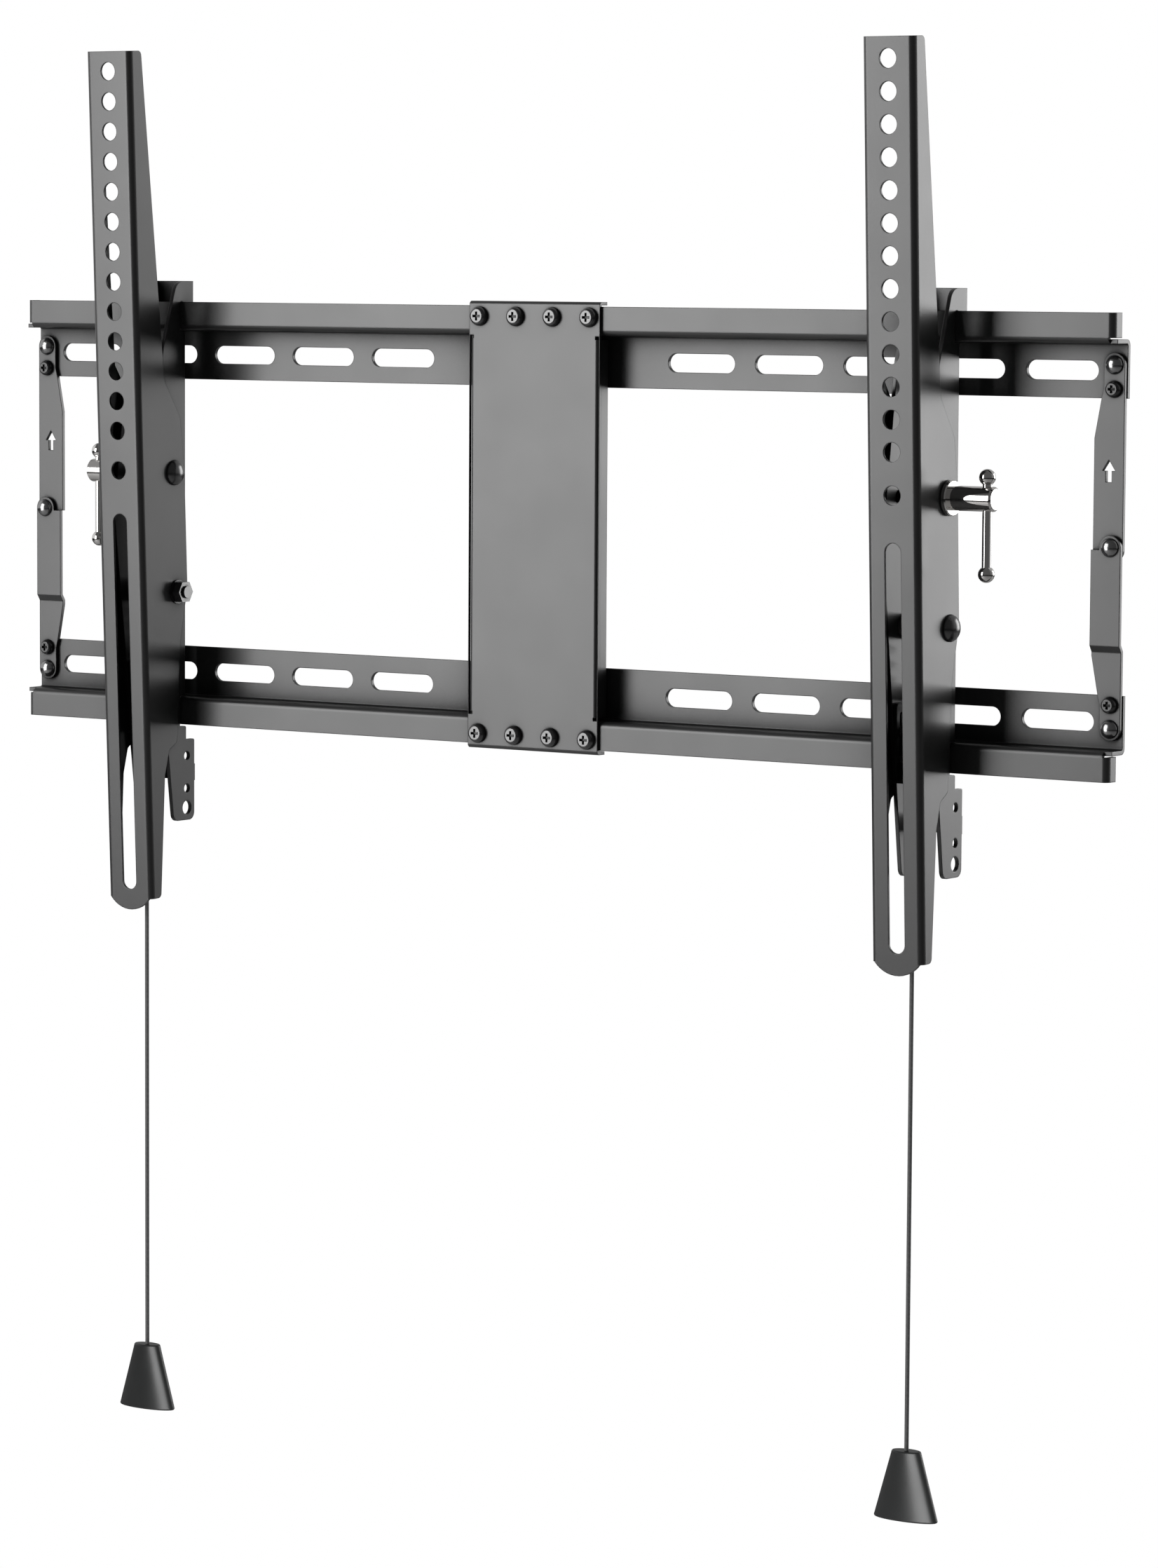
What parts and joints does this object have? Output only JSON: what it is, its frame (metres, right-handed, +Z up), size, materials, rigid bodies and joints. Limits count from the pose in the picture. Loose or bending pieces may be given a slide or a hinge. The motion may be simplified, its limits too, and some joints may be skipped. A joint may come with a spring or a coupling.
{
  "type": "tilting tv wall bracket",
  "caption": "Tilting wall bracket for a flat screen: slotted rail frame with hooked arms that slide, tilt and lock by a cord-released latch and a T-bar clamp.",
  "frame": {"origin": "on the wall plane, at the centre of the wall frame", "axes": "+X right along the rails, +Y into the wall, +Z up"},
  "size_m": [0.64, 0.0578, 0.6932],
  "materials": {
    "powder_coat": "satin black powder coat with a fine orange peel",
    "black_zinc": "black zinc, semi-gloss",
    "plain_steel": "plain zinc-plated steel",
    "chrome": "bright chrome plate",
    "nylon": "dark nylon sheet",
    "cord": "black braided cord",
    "pull_plastic": "moulded charcoal plastic with a soft sheen"
  },
  "bodies": {
    "wall_frame": {"top_left_rail": "powder_coat", "top_right_rail": "powder_coat", "bottom_left_rail": "powder_coat", "bottom_right_rail": "powder_coat", "center_plate": "powder_coat", "center_plate_screws": "black_zinc", "strap_rivets": "black_zinc", "strap_lock_screws": "black_zinc", "left_upper_strap": "powder_coat", "left_lower_strap": "powder_coat", "right_upper_strap": "powder_coat", "right_lower_strap": "powder_coat"},
    "right_carrier": {"right_hanger": "powder_coat", "right_pivot_bolt": "black_zinc", "right_pivot_nut": "black_zinc", "right_pivot_spacer": "plain_steel", "right_friction_washers": "nylon", "right_guide_pins": "plain_steel", "right_latch_spring": "plain_steel"},
    "right_tilter": {"right_arm": "powder_coat", "right_clamp_bolt": "black_zinc"},
    "right_clamp_nut": {"right_clamp_barrel": "chrome"},
    "right_tommy_bar": {"right_handle_bar": "chrome", "right_bar_balls": "chrome"},
    "right_catch": {"right_latch": "powder_coat", "right_cord_stop": "cord", "right_pull_cord": "cord", "right_cord_pull": "pull_plastic"},
    "left_carrier": {"left_hanger": "powder_coat", "left_pivot_bolt": "black_zinc", "left_pivot_nut": "black_zinc", "left_pivot_spacer": "plain_steel", "left_friction_washers": "nylon", "left_guide_pins": "plain_steel", "left_latch_spring": "plain_steel"},
    "left_tilter": {"left_arm": "powder_coat", "left_clamp_bolt": "black_zinc"},
    "left_clamp_nut": {"left_clamp_barrel": "chrome"},
    "left_tommy_bar": {"left_handle_bar": "chrome", "left_bar_balls": "chrome"},
    "left_catch": {"left_latch": "powder_coat", "left_cord_stop": "cord", "left_pull_cord": "cord", "left_cord_pull": "pull_plastic"}
  },
  "joints": [
    {"name": "right_rail_slide", "type": "slide", "parent": "wall_frame", "child": "right_carrier", "axis": [1, 0, 0], "range_m": [-0.158, 0.078]},
    {"name": "right_arm_tilt", "type": "hinge", "parent": "right_carrier", "child": "right_tilter", "pos_m": [0.2235, -0.019, -0.0394], "axis": [1, 0, 0], "range_deg": [-2.35, 3.6]},
    {"name": "right_nut_turn", "type": "hinge", "parent": "right_tilter", "child": "right_clamp_nut", "pos_m": [0.25, -0.02149, 0.02115], "axis": [1, 0, 0], "range_deg": [-180, 10]},
    {"name": "right_bar_slide", "type": "slide", "parent": "right_clamp_nut", "child": "right_tommy_bar", "axis": [0, 0, 1], "range_m": [0, 0.0244]},
    {"name": "right_latch_pull", "type": "slide", "parent": "right_carrier", "child": "right_catch", "axis": [0, 0, 1], "range_m": [-0.0065, 0], "stiffness_N_per_m": 400, "springref_m": 0.01, "deforming": ["right_latch_spring"]},
    {"name": "left_rail_slide", "type": "slide", "parent": "wall_frame", "child": "left_carrier", "axis": [1, 0, 0], "range_m": [-0.0705, 0.163]},
    {"name": "left_arm_tilt", "type": "hinge", "parent": "left_carrier", "child": "left_tilter", "pos_m": [-0.231, -0.019, -0.0394], "axis": [1, 0, 0], "range_deg": [-2.35, 3.6]},
    {"name": "left_nut_turn", "type": "hinge", "parent": "left_tilter", "child": "left_clamp_nut", "pos_m": [-0.2575, -0.02149, 0.02115], "axis": [1, 0, 0], "range_deg": [-180, 10]},
    {"name": "left_bar_slide", "type": "slide", "parent": "left_clamp_nut", "child": "left_tommy_bar", "axis": [0, 0, 1], "range_m": [0, 0.0244]},
    {"name": "left_latch_pull", "type": "slide", "parent": "left_carrier", "child": "left_catch", "axis": [0, 0, 1], "range_m": [-0.0065, 0], "stiffness_N_per_m": 400, "springref_m": 0.01, "deforming": ["left_latch_spring"]}
  ]
}
